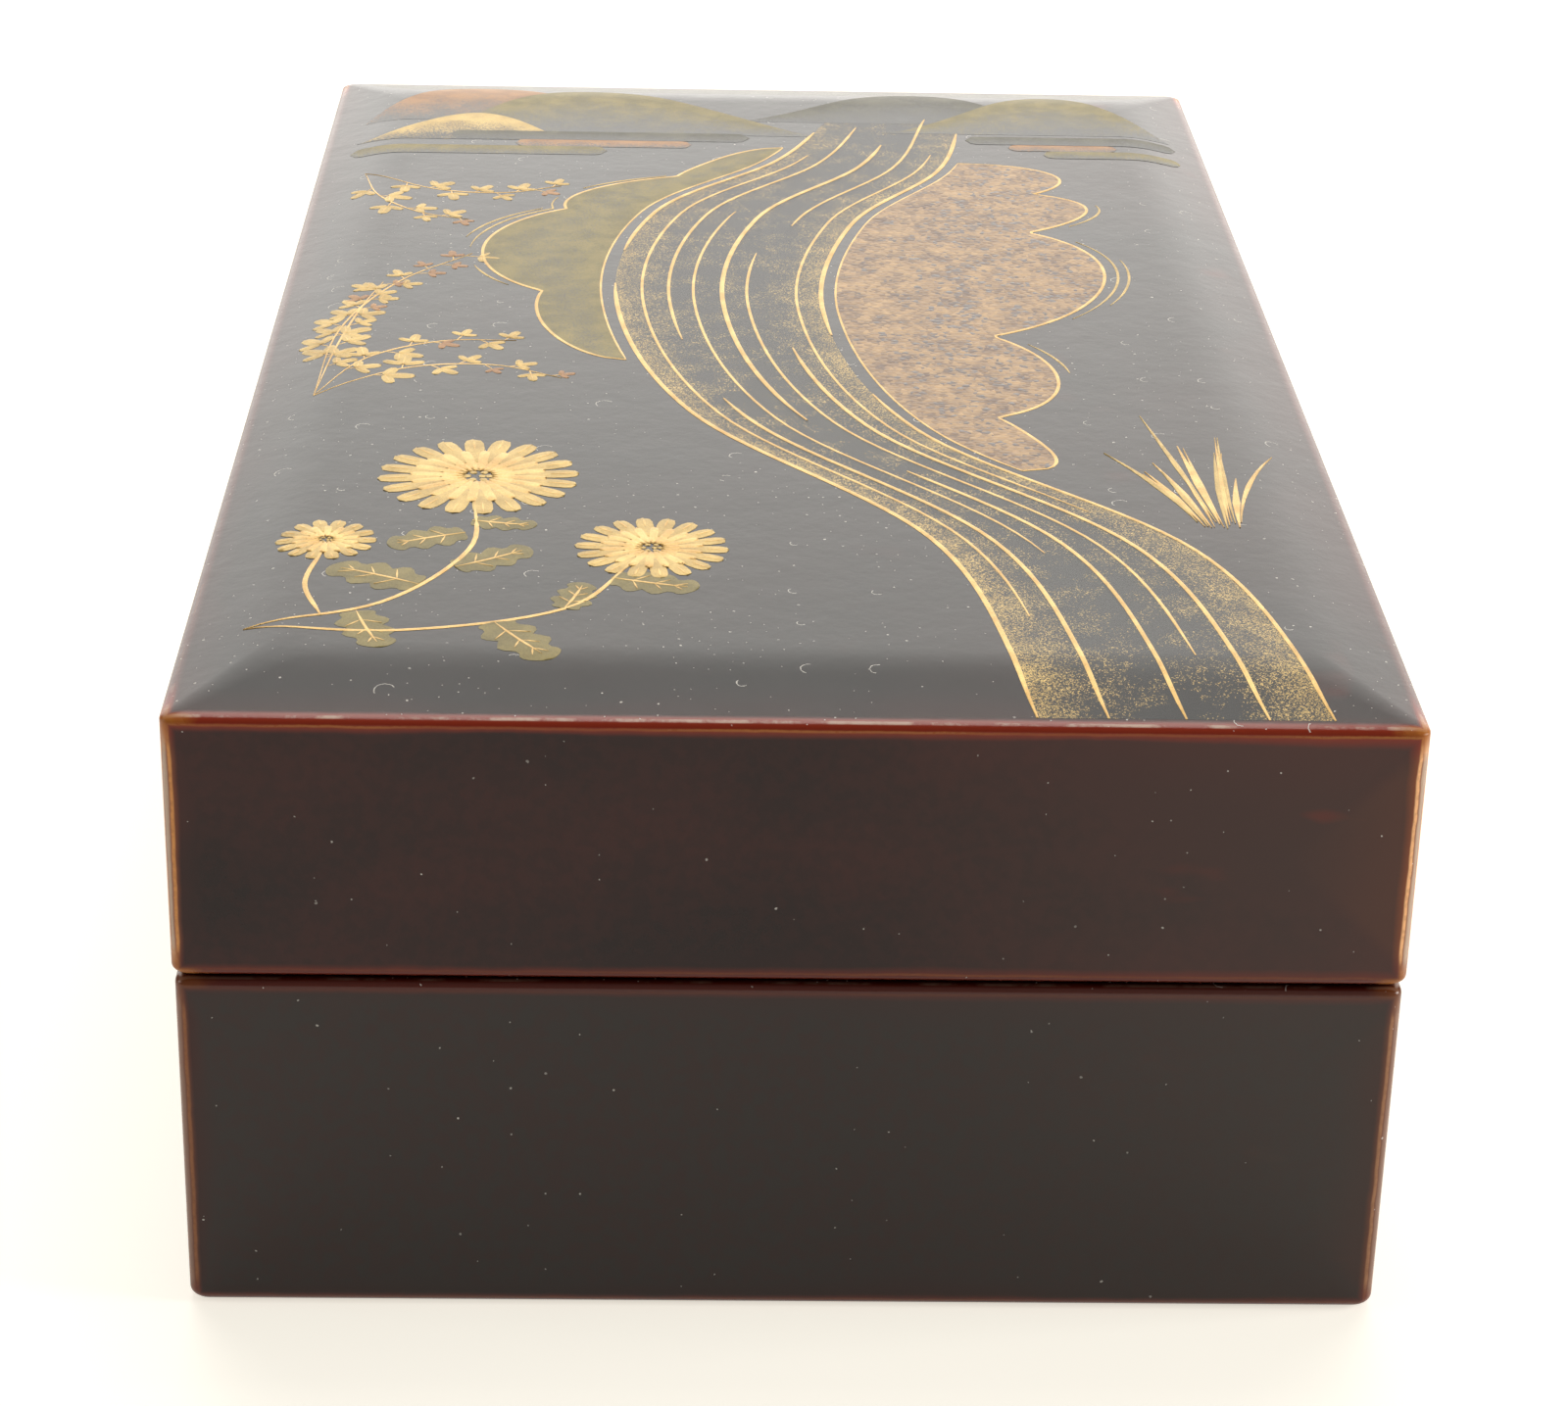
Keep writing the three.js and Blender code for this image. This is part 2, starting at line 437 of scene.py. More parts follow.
# Effects that more than one material uses. A pair of lengths is where an effect starts and where it
# is full or gone, measured from the edge.

WEAR_WANDER = 0.4 * MM
WARM_START, WARM_LEAST, WARM_MOST = 0.3 * MM, 0.5 * MM, 11 * MM
RED_START, RED_LEAST, RED_MOST = 0.8 * MM, 1.05 * MM, 1.1 * MM
RED_BEHIND = 0.7 * MM, 1.3 * MM
LINE_OUTSIDE = 0.64 * MM, 0.78 * MM
LINE_INSIDE = 0.84 * MM, 1.02 * MM
LINE_BROADER = 0.04 * MM
SIDE_FACE = 0.25 * MM, 0.55 * MM
CORNER_START, CORNER_LEAST, CORNER_MOST = 0.8 * MM, -1 * MM, 9 * MM
ROUNDING = 0.6 * MM, 1.1 * MM
BARE_CORE = 0.42 * MM, 0.7 * MM
SCUFF_DEPTH = 0.45 * MM, 0.6 * MM
SCUFF_OUTSIDE = 0.3 * MM, 0.45 * MM
SCUFF_INSIDE = 0.6 * MM, 0.8 * MM


def edge_wear_group():
    """Masks along the edges of a block. Its uprights, arrises and rims are rubbed through black
    lacquer to red, then to ochre ground in a thin line on the side faces and at the corners, and
    the uprights nearly bare; the pale core of their rounding is also a painted reflection. Small
    pale scuffs run along the top arris, and are also a painted highlight there. Top Line and Rim
    Line set how strong the line is below the top edge and above the lower one, and Spread how far
    the warm brown and the red reach."""
    group, given, result = new_group(
        "edge wear", "Position",
        ["Half Width", "Half Length", "Low", "High", "Rubbing", "Top Line", "Rim Line", "Spread"],
        ["Warmth", "Red", "Ochre", "Bare And Highlight", "Upright"])
    place = node(group, "SeparateXYZ", {0: given["Position"]})
    across = minus(group, given["Half Width"], maths(group, "ABSOLUTE", place[0]))
    along = minus(group, given["Half Length"], maths(group, "ABSOLUTE", place[1]))
    below_top = most(group, minus(group, given["High"], place[2]), 0.0)
    above_foot = most(group, minus(group, place[2], given["Low"]), 0.0)
    upright = least(group, below_top, above_foot)
    nearest = least(group, across, along)
    farthest = most(group, across, along)
    distance = most(group, nearest, least(group, farthest, upright))
    to_corner = most(group, farthest, upright)
    on_upright = fade(group, minus(group, upright, farthest), 0.0, 2.5 * MM)
    near_top = fade(group, minus(group, above_foot, below_top), 0.0, 1 * MM)
    long_side = fade(group, along, 2 * MM, 8 * MM)

    patches = noise(group, given["Position"], 26 * MM, 2.0)
    ragged = noise(group, given["Position"], 4 * MM, 5.0, 0.6)
    fine = noise(group, given["Position"], 0.5 * MM, 2.0)
    wandered = sloped(group, minus(group, ragged, 0.5), WEAR_WANDER, distance)
    spread = times(group, patches, given["Spread"])
    level = minus(group, 1.0, on_upright)
    warmth = fade(group, distance, WARM_START, sloped(group, spread, WARM_MOST, WARM_LEAST), 1.0, 0.0)
    warmth = weakened(group, warmth, level, 0.5)
    top_over_rim = minus(group, given["Top Line"], given["Rim Line"])
    weaker = weakened(group, level, sloped(group, near_top, top_over_rim, given["Rim Line"]))
    red = fade(group, wandered, RED_START, sloped(group, spread, RED_MOST, RED_LEAST), 1.0, 0.0)
    red = times(group, red, fade(group, nearest, *RED_BEHIND, 1.0, 0.1))
    red = weakened(group, weakened(group, red, weaker, 0.75), long_side, 0.75)

    broader = times(group, on_upright, LINE_BROADER)
    outer_side = fade(group, maths(group, "ADD", wandered, broader), *LINE_OUTSIDE)
    inner_side = fade(group, minus(group, wandered, broader), *LINE_INSIDE, 1.0, 0.0)
    line = times(group, outer_side, inner_side, fade(group, nearest, *SIDE_FACE, 1.0, 0.0))
    line = weakened(group, weakened(group, line, weaker), long_side, 0.5)
    stretches = fade(group, patches, 0.38, 0.66, 0.3, 1.0)
    rubbed = times(group, most(group, stretches, on_upright), given["Rubbing"])
    broken = times(group, fade(group, fine, 0.3, 0.6, 0.75, 1.0), rubbed)
    corner_reach = sloped(group, ragged, CORNER_MOST, CORNER_LEAST)
    corner = fade(group, to_corner, CORNER_START, corner_reach, 1.0, 0.0)
    corner = times(group, corner, fade(group, wandered, *ROUNDING, 1.0, 0.0), given["Rubbing"])
    corner = times(group, corner, fade(group, ragged, 0.35, 0.65, 0.2, 0.85))
    ochre = least(group, most(group, times(group, line, broken), corner), 1.0)

    # Pale core of the uprights' rounding: worn ground and a painted reflection along the silhouettes.
    core = fade(group, wandered, *BARE_CORE, 1.0, 0.0)
    # Pale scuffs along the top arris: wear and a painted highlight.
    scuffs_and_highlight = times(
        group,
        fade(group, below_top, *SCUFF_DEPTH, 1.0, 0.0),
        fade(group, nearest, *SCUFF_OUTSIDE),
        fade(group, nearest, *SCUFF_INSIDE, 1.0, 0.0),
        fade(group, ragged, 0.42, 0.6, 0.0, given["Top Line"]),
        sloped(group, long_side, -0.7, 0.8),
    )
    bare_and_highlight = times(group, most(group, times(group, core, on_upright, rubbed), scuffs_and_highlight), 0.8)
    fill(group, result, {
        "Warmth": warmth, "Red": red, "Ochre": ochre, "Bare And Highlight": bare_and_highlight, "Upright": on_upright,
    })
    return group


SPECK_LEAST, SPECK_MOST = 0.034, 0.05
SPECK_WARP = 0.2 * MM
FIBRE_DENSITY = 0.25
FIBRE_WIDTH = 0.0065
CURL_LEAST, CURL_MOST = 0.06, 0.09


def dust_group():
    """A mask of dust specks on a flat face, in loose clusters, with a few curled fibres. Spread is
    the place on the face in x and y. A speck is a small disc in its cell, and a fibre half a ring."""
    group, given, result = new_group("dust specks", "Spread", ["Spacing", "Share"], ["Specks"])
    density = maths(group, "DIVIDE", 1.0, given["Spacing"])
    place = warped(group, given["Spread"], 4 / MM, 2.0, SPECK_WARP)
    cells, chance = cells_at(group, place, density, "2D")
    clusters = fade(group, noise(group, given["Spread"], 14 * MM, 2.0), 0.35, 0.7, 0.08, 1.0)
    kept = maths(group, "LESS_THAN", chance[0], times(group, clusters, given["Share"]))
    size = sloped(group, maths(group, "POWER", chance[1], 4.0), SPECK_MOST, SPECK_LEAST)
    speck = maths(group, "LESS_THAN", cells["Distance"], size)
    specks = times(group, kept, speck, sloped(group, chance[2], 0.65, 0.25))

    cells, chance = cells_at(group, place, times(group, density, FIBRE_DENSITY), "2D")
    kept = maths(group, "LESS_THAN", chance[0], maths(group, "POWER", given["Share"], 3.0))
    curl = minus(group, cells["Distance"], sloped(group, chance[1], CURL_MOST, CURL_LEAST))
    thread = maths(group, "LESS_THAN", maths(group, "ABSOLUTE", curl), FIBRE_WIDTH)
    away = vector_maths(group, "SUBTRACT", place, cells["Position"])
    lean = vector_maths(group, "SUBTRACT", cells["Color"], MID_GREY)
    facing = node(group, "VectorMath", {0: away, 1: lean}, operation="DOT_PRODUCT")["Value"]
    half = maths(group, "GREATER_THAN", facing, 0.0)
    fill(group, result, {"Specks": most(group, specks, times(group, kept, thread, half, 0.75))})
    return group


def polish_group():
    """Cloudy gloss from handling, with the slow waves, blotches and faint hairlines that hand
    polishing leaves. Cloud feeds the roughness."""
    group, given, result = new_group("hand polish", "Position", [], ["Cloud", "Height"])
    slow = noise(group, given["Position"], 22 * MM, 3.0, 0.55)
    blotches = noise(group, given["Position"], 7 * MM, 4.0, 0.65)
    hairlines = noise(group, stretched(group, given["Position"], (0.12, 1.0, 1.0)), 0.25 * MM, 1.0)
    waves = noise(group, given["Position"], 16 * MM, 1.0)
    fill(group, result, {
        "Cloud": sloped(group, blotches, 0.6, times(group, slow, 0.4)),
        "Height": sloped(group, hairlines, 0.01, sloped(group, blotches, 2.2, waves)),
    })
    return group


def powder_group():
    """Sprinkled metal powder. Coverage sets how much of the lacquer shows between the grains."""
    group, given, result = new_group(
        "sprinkled powder", "Position", ["Grain", "Coverage"], ["Metal", "Tone", "Height"])
    density = maths(group, "DIVIDE", 1.0, given["Grain"])
    place = warped(group, given["Position"], density, 1.0, 0.3 * MM)
    cells, chance = cells_at(group, place, density)
    clouds = noise(group, given["Position"], 3 * MM, 3.0)
    wanted = sloped(group, minus(group, clouds, 0.5), 0.5, given["Coverage"])
    cloudy = fade(group, clouds, 0.3, 0.7)
    fill(group, result, {
        "Metal": maths(group, "LESS_THAN", chance[0], wanted),
        "Tone": sloped(group, cloudy, 0.45, times(group, chance[1], 0.55)),
        "Height": minus(group, 1.0, cells["Distance"]),
    })
    return group


EDGE_WEAR = edge_wear_group()
DUST = dust_group()
POLISH = polish_group()
POWDER = powder_group()

LID_BLACK = (0.011, 0.0032, 0.0032, 1)
TOP_BLACK = (0.0065, 0.0055, 0.0045, 1)
BODY_BLACK = (0.031, 0.0235, 0.021, 1)
# Grey of a painted reflection on the sides, growing towards the right end.
PAINTED_SHEEN_GREY = (0.055, 0.046, 0.04, 1)
BROWN_LACQUER = (0.053, 0.0095, 0.0065, 1)
RED_LACQUER = (0.25, 0.024, 0.007, 1)
RUST_LACQUER = (0.26, 0.068, 0.022, 1)
OCHRE_GROUND = (0.42, 0.145, 0.02, 1)
PALE_OCHRE = (0.7, 0.3, 0.09, 1)
# Worn ochre lightened into a painted highlight, for the right-hand uprights.
OCHRE_AND_HIGHLIGHT = (0.98, 0.52, 0.24, 1)
# Pale worn ground, also used as a painted reflection and highlight on the rounded edges.
PALE_GROUND_AND_HIGHLIGHT = (0.56, 0.41, 0.3, 1)
FLAKE_GROUND = (0.06, 0.033, 0.022, 1)
DUST_WHITE = (0.75, 0.72, 0.66, 1)
LACQUER_IOR = 1.35
POLISH_DEPTH = 0.03 * MM


# Materials

def outer_lacquer(name, half, low, high, black, warmth, spread, rubbing, top_line, rim_line):
    """Near-black lacquer over red, clouded and mottled with brown, polished by hand and rubbed
    through along its edges. The brown shows little on the top. Towards the right end a painted
    reflection lightens the lacquer, with more brown and a faint grey haze on the sides."""
    material, tree, shader, position = new_material(name)
    place = node(tree, "SeparateXYZ", {0: position})
    right_end = fade(tree, place[0], -0.1 * half.x, half.x)
    facing = node(tree, "SeparateXYZ", {0: node(tree, "TexCoord")["Normal"]})
    faces_up = maths(tree, "GREATER_THAN", facing[2], 0.7)
    faces_aside = minus(tree, 1.0, faces_up)
    turned_up = fade(tree, facing[2], 0.5, 0.9)
    polish = use_group(tree, POLISH, {"Position": position})
    wear = use_group(tree, EDGE_WEAR, {
        "Position": position, "Half Width": half.x, "Half Length": half.y, "Low": low, "High": high,
        "Rubbing": rubbing, "Top Line": top_line, "Rim Line": rim_line,
        "Spread": sloped(tree, right_end, 0.9 * spread, spread),
    })
    dust_x = sloped(tree, place[1], faces_aside, place[0])
    dust_y = sloped(tree, place[1], faces_up, times(tree, place[2], faces_aside))
    dust = use_group(tree, DUST, {
        "Spread": node(tree, "CombineXYZ", {0: dust_x, 1: dust_y})[0],
        "Spacing": 1.5 * MM, "Share": sloped(tree, faces_up, 0.54, 0.1),
    })

    streaks = stretched(tree, position, (0.35, 0.35, 1.0))
    clouds = noise(tree, stretched(tree, position, (0.6, 0.6, 1.0)), 13 * MM, 3.0)
    mottle = fade(tree, noise(tree, position, 1.2 * MM, 2.0), 0.35, 0.65, -0.06, 0.15)
    brown = sloped(tree, fade(tree, clouds, 0.25, 0.75, 0.05, 0.73), warmth, mottle)
    # Painted reflection: extra brown towards the right end, which lightens it.
    painted_right_brown = times(tree, right_end, fade(tree, clouds, 0.25, 0.75, 0.45 * warmth, 1.1 * warmth))
    brown = weakened(tree, maths(tree, "ADD", painted_right_brown, brown), turned_up, 0.85)
    edge_warmth = times(tree, wear["Warmth"], fade(tree, clouds, 0.3, 0.6, 0.4, 1.0))
    warm = most(tree, brown, edge_warmth, clamp=True)
    colour = mixed(tree, warm, mixed(tree, turned_up, black, TOP_BLACK), BROWN_LACQUER)
    # Painted reflection: a grey haze on the sides, growing towards the right end.
    painted_sheen = times(tree, right_end, faces_aside, 0.46)
    colour = mixed(tree, painted_sheen, colour, PAINTED_SHEEN_GREY)

    red_rubs = times(tree, fade(tree, noise(tree, streaks, 4 * MM, 2.0), 0.62, 0.78), right_end)
    glow = times(tree, wear["Warmth"], right_end, faces_aside)
    red = times(tree, wear["Red"], 0.35 + 0.55 * rubbing)
    red = most(tree, red, times(tree, red_rubs, 0.35 * warmth))
    red = most(tree, red, times(tree, glow, 0.22 * warmth))
    under_coat = mixed(tree, wear["Upright"], RED_LACQUER, RUST_LACQUER)
    colour = mixed(tree, red, colour, under_coat)
    # Pale worn ground, partly a painted reflection on the uprights and a painted highlight on the top arris.
    colour = mixed(tree, wear["Bare And Highlight"], colour, PALE_GROUND_AND_HIGHLIGHT)
    # Worn ochre on the uprights, lightened towards the right end into a painted highlight.
    upright_ochre_and_highlight = mixed(tree, right_end, PALE_OCHRE, OCHRE_AND_HIGHLIGHT)
    colour = mixed(tree, wear["Ochre"], colour, mixed(tree, wear["Upright"], OCHRE_GROUND, upright_ochre_and_highlight))
    gloss = sloped(tree, wear["Ochre"], 0.15, sloped(tree, polish["Cloud"], 0.14, 0.13))
    fill(tree, shader, {
        "Base Color": mixed(tree, dust["Specks"], colour, DUST_WHITE),
        "Roughness": most(tree, gloss, times(tree, dust["Specks"], 0.9)),
        "Normal": relief(tree, polish["Height"], POLISH_DEPTH), "IOR": LACQUER_IOR,
    })
    return material


def inner_lacquer():
    """Brown-black lacquer with a sparse sprinkle of gold flakes."""
    material, tree, shader, position = new_material("inner lacquer")
    powder = use_group(tree, POWDER, {"Position": position, "Grain": 0.45 * MM, "Coverage": 0.07})
    polish = use_group(tree, POLISH, {"Position": position})
    colour = mixed(tree, polish["Cloud"], LID_BLACK, BROWN_LACQUER)
    flake = mixed(tree, powder["Tone"], (0.42, 0.2, 0.05, 1), (0.75, 0.5, 0.18, 1))
    fill(tree, shader, {
        "Base Color": mixed(tree, powder["Metal"], colour, flake),
        "Metallic": times(tree, powder["Metal"], 0.8),
        "Roughness": sloped(tree, polish["Cloud"], 0.15, 0.14),
        "Normal": relief(tree, polish["Height"], POLISH_DEPTH), "IOR": LACQUER_IOR,
    })
    return material


def cypress(name, grain_axis):
    """Pale straight-grained board, with the grain drawn out along one axis."""
    material, tree, shader, position = new_material(name)
    stretch = [1.0, 1.0, 1.0]
    stretch[grain_axis] = 0.04
    drawn = stretched(tree, position, stretch)
    ring_inputs = {"Vector": drawn, "Scale": 90.0, "Distortion": 3.0, "Detail": 2.0, "Detail Scale": 0.6}
    rings = node(tree, "TexWave", ring_inputs, bands_direction="DIAGONAL")["Fac"]
    fibre = noise(tree, drawn, 0.5 * MM, 3.0)
    tone = sloped(tree, rings, 0.55, times(tree, fibre, 0.45))
    fill(tree, shader, {
        "Base Color": mixed(tree, tone, (0.44, 0.27, 0.13, 1), (0.72, 0.53, 0.32, 1)),
        "Roughness": sloped(tree, fibre, 0.2, 0.55), "Normal": relief(tree, fibre, 0.05 * MM),
    })
    return material


def powder_metal(
        name, dark, bright, grain, ground=TOP_BLACK, cover=1.4, metal=0.5, roughness=0.42, coat=0.0):
    """Gold or silver powder dusted on wet lacquer, from solid to a thin sprinkle over the ground. A
    coat is the clear lacquer that flat work is polished down under."""
    material, tree, shader, position = new_material(name)
    laid = node(tree, "Attribute", attribute_name="laid_powder")["Fac"]
    powder_inputs = {"Position": position, "Grain": grain, "Coverage": times(tree, laid, cover)}
    powder = use_group(tree, POWDER, powder_inputs)
    tone = mixed(tree, powder["Tone"], dark, bright)
    fill(tree, shader, {
        "Base Color": mixed(tree, powder["Metal"], ground, tone),
        "Metallic": times(tree, powder["Metal"], metal),
        "Roughness": sloped(tree, powder["Metal"], roughness - 0.3, 0.3),
        "Normal": relief(tree, powder["Height"], grain * 0.12), "IOR": LACQUER_IOR,
        "Coat Weight": coat, "Coat Roughness": 0.2, "Coat IOR": LACQUER_IOR,
    })
    return material


# Gold design. Each motif is laid flat, with its z as the height over the lacquer, and draped at the end.

SINK = 0.04 * MM


class GoldWork:
    """The parts of the design that are laid in one metal, gathered in one mesh."""

    def __init__(self):
        self.mesh = bmesh.new()
        self.laid = self.mesh.verts.layers.float.new("laid_powder")

    def sheet(self, columns, rows, place, height, crown=0, laid=lambda u, v: 1):
        """A flat shape. place gives a point for u across and v along, each from 0 to 1, and laid
        gives how thickly the powder lies there."""
        for vert in bmesh.ops.create_grid(self.mesh, x_segments=columns, y_segments=rows, size=0.5)["verts"]:
            u, v = min(max(vert.co.x + 0.5, 0), 1), min(max(vert.co.y + 0.5, 0), 1)
            point = place(u, v)
            vert[self.laid] = laid(u, v)
            vert.co = (point.x, point.y, height + crown * math.sin(math.pi * u))

    def stroke(self, line, width, height, taper=0.35, finest=0.15, base=0):
        """A brushed line along some points, fine at its ends and full between. base is the height
        of the shape that it lies on."""
        last = len(line) - 1
        height = min(height, width * STROKE_RELIEF)

        def place(u, v):
            index = min(int(v * last), last - 1)
            heading = (line[min(index + 2, last)] - line[max(index - 1, 0)]).normalized()
            swell = min(1, finest + (1 - finest) * min(v, 1 - v) / taper)
            return point_at(line, v) + Vector((-heading.y, heading.x)) * (0.5 - u) * width * swell

        self.sheet(2, last, place, base + height * 0.35, height * 0.65)

    def leaf(self, root, angle, length, width, height, rows=7, swell=lambda v: 1, bend=0.0):
        """A petal or leaf that points away from its root. swell shapes its width along it."""
        heading, side = ways(angle)

        def place(u, v):
            reach = (1 - math.cos(math.pi * v)) / 2
            spread = math.sin(math.pi * v) ** 0.6 * swell(reach)
            middle = root + heading * reach * length + side * bend * length * reach * reach
            return middle + side * (0.5 - u) * width * spread

        self.sheet(2, rows, place, height * 0.35, height * 0.65)

    def drape(self):
        """Gives the flat work its thickness and lays it over the domed top, cut where the top's
        facets meet."""
        bmesh.ops.remove_doubles(self.mesh, verts=self.mesh.verts, dist=0.5e-6)
        underside = list(self.mesh.verts)
        bmesh.ops.extrude_face_region(self.mesh, geom=list(self.mesh.faces))
        for vert in underside:
            vert.co.z = -SINK
        for step in range(SLOPE_STEPS + 1):
            inset = slope_inset(step / SLOPE_STEPS)
            for axis in (0, 1):
                for side in (-1, 1):
                    cut_across(self.mesh, axis, side * (lid_half[axis] - inset[axis]))
        for vert in self.mesh.verts:
            vert.co.z += lid_height(vert.co.x, vert.co.y)
        bmesh.ops.recalc_face_normals(self.mesh, faces=self.mesh.faces)
        return self.mesh


def at(x, y):
    """A point on the lid, given in millimetres."""
    return Vector((x, y)) * MM


def ways(angle):
    """The ways ahead and to the left at an angle."""
    return Vector((math.cos(angle), math.sin(angle))), Vector((-math.sin(angle), math.cos(angle)))


def smooth_line(points, steps):
    """Points of a smooth line through a few points, with some steps to each span."""
    ends = [points[0] * 2 - points[1], *points, points[-1] * 2 - points[-2]]
    line = [points[0]]
    for before, start, end, after in zip(ends, ends[1:], ends[2:], ends[3:]):
        leave = start + (end - before) / 6
        arrive = end - (after - start) / 6
        line += interpolate_bezier(start, leave, arrive, end, steps + 1)[1:]
    return line


def point_at(line, share):
    last = len(line) - 1
    index = min(int(share * last), last - 1)
    return line[index].lerp(line[index + 1], share * last - index)


def line_part(line, start_share, end_share):
    last = len(line) - 1
    return line[round(start_share * last):round(end_share * last) + 1]


def heading_at(line, index):
    way = line[min(index + 1, len(line) - 1)] - line[max(index - 1, 0)]
    return math.atan2(way.y, way.x)


WATER_HEIGHT = 0.006 * MM
HILL_HEIGHT = 0.01 * MM
BAND_HEIGHT = 0.022 * MM
BANK_HEIGHT = 0.036 * MM
LEAF_HEIGHT = 0.055 * MM
LINE_HEIGHT = 0.085 * MM
BLOOM_HEIGHT = 0.13 * MM
LAYER_STEP = 0.002 * MM
LEAF_BEND = 0.08
STROKE_RELIEF = 0.17

METALS = {
    "bright_gold": dict(dark=(0.4, 0.23, 0.06, 1), bright=(0.84, 0.58, 0.24, 1), grain=0.07 * MM),
    "yellow_gold": dict(dark=(0.29, 0.19, 0.06, 1), bright=(0.6, 0.43, 0.155, 1), grain=0.09 * MM),
    "olive_gold": dict(dark=(0.1, 0.08, 0.022, 1), bright=(0.26, 0.205, 0.065, 1), grain=0.08 * MM,
                       metal=0.3, roughness=0.52, coat=0.15),
    "flake_gold": dict(dark=(0.075, 0.036, 0.022, 1), bright=(0.4, 0.245, 0.1, 1), grain=0.55 * MM,
                       ground=FLAKE_GROUND, cover=1.1, metal=0.3, roughness=0.45, coat=0.2),
    "silver": dict(dark=(0.06, 0.056, 0.04, 1), bright=(0.16, 0.15, 0.11, 1), grain=0.09 * MM,
                   metal=0.3, roughness=0.55, coat=0.1),
    "peach_gold": dict(dark=(0.2, 0.09, 0.03, 1), bright=(0.42, 0.22, 0.085, 1), grain=0.08 * MM,
                       metal=0.3, roughness=0.5, coat=0.15),
}
LEFT_WATERLINE = [(20, -93.1), (13, -58), (-9, -26), (-17, 8), (-13, 38), (1, 58), (8, 76)]
RIGHT_WATERLINE = [(45, -93.1), (37, -60), (13, -30), (5, 4), (9, 34), (20, 55), (24, 76)]


def waterlines():
    return [smooth_line([at(*pair) for pair in side], 14) for side in (LEFT_WATERLINE, RIGHT_WATERLINE)]


def stream(gold):
    """A winding stream of nearly parallel lines, over a thin dusting that thickens to its sides."""
    runs = [
        (0.0, 0.0, 0.52, 0.5), (0.0, 0.58, 0.94, 0.45), (0.13, 0.08, 0.86, 0.32), (0.24, 0.0, 0.36, 0.45),
        (0.26, 0.44, 0.97, 0.36), (0.38, 0.15, 0.68, 0.3), (0.5, 0.0, 0.26, 0.42), (0.52, 0.33, 0.9, 0.5),
        (0.64, 0.05, 0.6, 0.32), (0.72, 0.66, 1.0, 0.34), (0.78, 0.0, 0.44, 0.45), (0.88, 0.22, 0.88, 0.3),
        (1.0, 0.0, 0.38, 0.4), (1.0, 0.46, 0.95, 0.5),
    ]
    left, right = waterlines()

    def water(u, v):
        return point_at(left, v).lerp(point_at(right, v), u)

    def dusting(u, v):
        return 0.02 + 0.3 * abs(2 * u - 1) ** 3 * (1 - 0.5 * v)

    gold["yellow_gold"].sheet(16, 84, water, WATER_HEIGHT, laid=dusting)
    for across, start, end, width in runs:
        line = [a.lerp(b, across) for a, b in zip(left, right)]
        gold["bright_gold"].stroke(line_part(line, start, end), width * MM, LINE_HEIGHT, 0.06, 0.4)


def hills(gold):
    """Low hills along the far end, each thickly powdered at its crest and faded out at its foot."""
    rises = [
        ("silver", -4, 34, 74, 14, 1.3), ("peach_gold", -48.5, -14, 73, 16, 0.75),
        ("olive_gold", 14, 49, 70, 17, 1.35), ("olive_gold", -38, 6, 68, 19, 0.7),
        ("yellow_gold", -49, -24, 65, 11, 1.2),
    ]
    for layer, (metal, start, end, foot, rise, lean) in enumerate(rises):
        def place(u, v, start=start, end=end, foot=foot, rise=rise, lean=lean):
            crest = math.sin(math.pi * v ** lean) ** 1.15
            return at(start + (end - start) * v, foot + rise * crest * (1 - u))

        def laid(u, v):
            return 0.95 * (1 - u) ** 1.3 * min(1, 6 * min(v, 1 - v)) + 0.02

        gold[metal].sheet(8, 30, place, HILL_HEIGHT + layer * LAYER_STEP, laid=laid)


def mist(gold):
    """Long bands of mist with round ends before the hills, each dense above and thin below."""
    bands = [
        ("silver", -38, -2, 67, 3.4), ("peach_gold", -30, -9, 63.9, 2.7), ("olive_gold", -49.5, -19, 61, 3.3),
        ("silver", 24, 49.5, 67.5, 3.2), ("peach_gold", 29, 42, 64.6, 2.4), ("olive_gold", 33, 49.5, 62, 2.8),
    ]
    for layer, (metal, start, end, middle, breadth) in enumerate(bands):
        round_share = breadth / 2 / (end - start)

        def place(u, v, start=start, end=end, middle=middle, breadth=breadth, round_share=round_share):
            to_end = min(1, min(v, 1 - v) / round_share)
            bulge = math.sqrt(to_end * (2 - to_end))
            return at(start + (end - start) * v, middle + breadth * (0.5 - u) * bulge)

        def laid(u, v):
            return 0.85 - 0.75 * u

        gold[metal].sheet(5, 40, place, BAND_HEIGHT + layer * LAYER_STEP, laid=laid)


